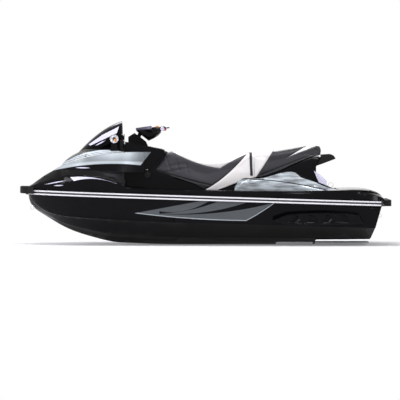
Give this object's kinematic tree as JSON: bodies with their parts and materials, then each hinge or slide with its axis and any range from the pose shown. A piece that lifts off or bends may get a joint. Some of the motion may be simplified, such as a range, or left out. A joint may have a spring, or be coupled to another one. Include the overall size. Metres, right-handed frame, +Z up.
{
  "type": "personal watercraft",
  "caption": "Sit-down jet-driven personal watercraft for three riders, with steering, nozzle, reverse bucket, hood, glovebox lid and seat that move.",
  "frame": {"origin": "on the centreline at the waterline, halfway along the boat", "axes": "+X forward to the bow, +Y to port, +Z up"},
  "size_m": [3.2093, 1.1766, 1.0698],
  "materials": {
    "bar_steel": "satin black",
    "bucket_plastic": "moulded",
    "bumper_rubber": "matt black rubber",
    "deck_black": "gloss black moulding",
    "engine_cast": "cast",
    "eye_chrome": "polished",
    "hood_paint": "gloss black with a silver band",
    "hull_gelcoat": "gloss black gelcoat with silver blades",
    "impeller_steel": "machined",
    "mat_rubber": "grooved traction mat",
    "pump_alloy": "cast and painted",
    "seat_vinyl_black": "black and white marine vinyl",
    "shield_gloss": "gloss black acrylic",
    "silver_paint": "metallic silver paint",
    "sponson_plastic": "gloss black"
  },
  "bodies": {
    "boat": {"hull": "hull_gelcoat", "deck": "deck_black", "rub_rail": "bumper_rubber", "bow_bumper": "bumper_rubber", "stern_bumper": "bumper_rubber", "pedestal": "deck_black", "nacelle": "silver_paint", "console": "deck_black", "column_cover": "deck_black", "engine": "engine_cast", "stern_tube": "hull_gelcoat", "pump_housing": "pump_alloy", "ride_plate": "pump_alloy", "intake_grate": "pump_alloy", "sponson_left": "sponson_plastic", "sponson_right": "sponson_plastic", "footwell_mat_left": "mat_rubber", "footwell_mat_right": "mat_rubber", "bow_eye": "eye_chrome", "stern_eye_left": "eye_chrome", "stern_eye_right": "eye_chrome", "tow_ring": "eye_chrome", "quarter_panel_left": "silver_paint", "quarter_panel_right": "silver_paint", "side_cap_left": "deck_black", "side_cap_right": "deck_black", "grab_handle": "deck_black", "pump_intake": "bucket_plastic"},
    "hood": {"hood": "hood_paint", "windshield": "shield_gloss", "gauge_pod": "deck_black", "lamp_pod_left": "deck_black", "lamp_pod_right": "deck_black"},
    "steering": {"handlebar": "bar_steel", "grip_left": "bumper_rubber", "grip_right": "bumper_rubber", "switch_box_left": "deck_black", "switch_box_right": "deck_black", "bar_pad": "silver_paint", "lever_left": "bar_steel", "lever_right": "bar_steel"},
    "nozzle": {"steering_nozzle": "pump_alloy"},
    "bucket": {"reverse_bucket": "bucket_plastic"},
    "impeller": {"impeller": "impeller_steel", "drive_shaft": "impeller_steel"},
    "glovebox_lid": {"glovebox_lid": "deck_black"},
    "seat": {"front_seat": "seat_vinyl_black", "rear_seat": "seat_vinyl_black"}
  },
  "joints": [
    {"name": "steering", "type": "hinge", "parent": "boat", "child": "steering", "pos_m": [0.585, 0, 0.65], "axis": [-0.3746, 0, 0.9272], "range_deg": [-22, 22]},
    {"name": "nozzle_swing", "type": "hinge", "parent": "boat", "child": "nozzle", "pos_m": [-1.188, 0, -0.11], "axis": [0, 0, 1], "range_deg": [-20, 20]},
    {"name": "bucket_drop", "type": "hinge", "parent": "boat", "child": "bucket", "pos_m": [-1.14, 0, -0.11], "axis": [0, -1, 0], "range_deg": [0, 58]},
    {"name": "impeller_spin", "type": "hinge", "parent": "boat", "child": "impeller", "pos_m": [-1, 0, -0.11], "axis": [1, 0, 0], "continuous": true},
    {"name": "hood_lift", "type": "hinge", "parent": "boat", "child": "hood", "pos_m": [1.24, 0, 0.414], "axis": [0, 1, 0], "range_deg": [0, 45]},
    {"name": "glovebox_lift", "type": "hinge", "parent": "boat", "child": "glovebox_lid", "pos_m": [0.46223, 0, 0.59065], "axis": [0, 1, 0], "range_deg": [0, 55]},
    {"name": "seat_lift", "type": "hinge", "parent": "boat", "child": "seat", "pos_m": [0.33, 0, 0.546], "axis": [0, 1, 0], "range_deg": [0, 40]}
  ],
  "couplings": [
    {"joint": "nozzle_swing", "follows": "steering", "ratio": -0.909}
  ]
}
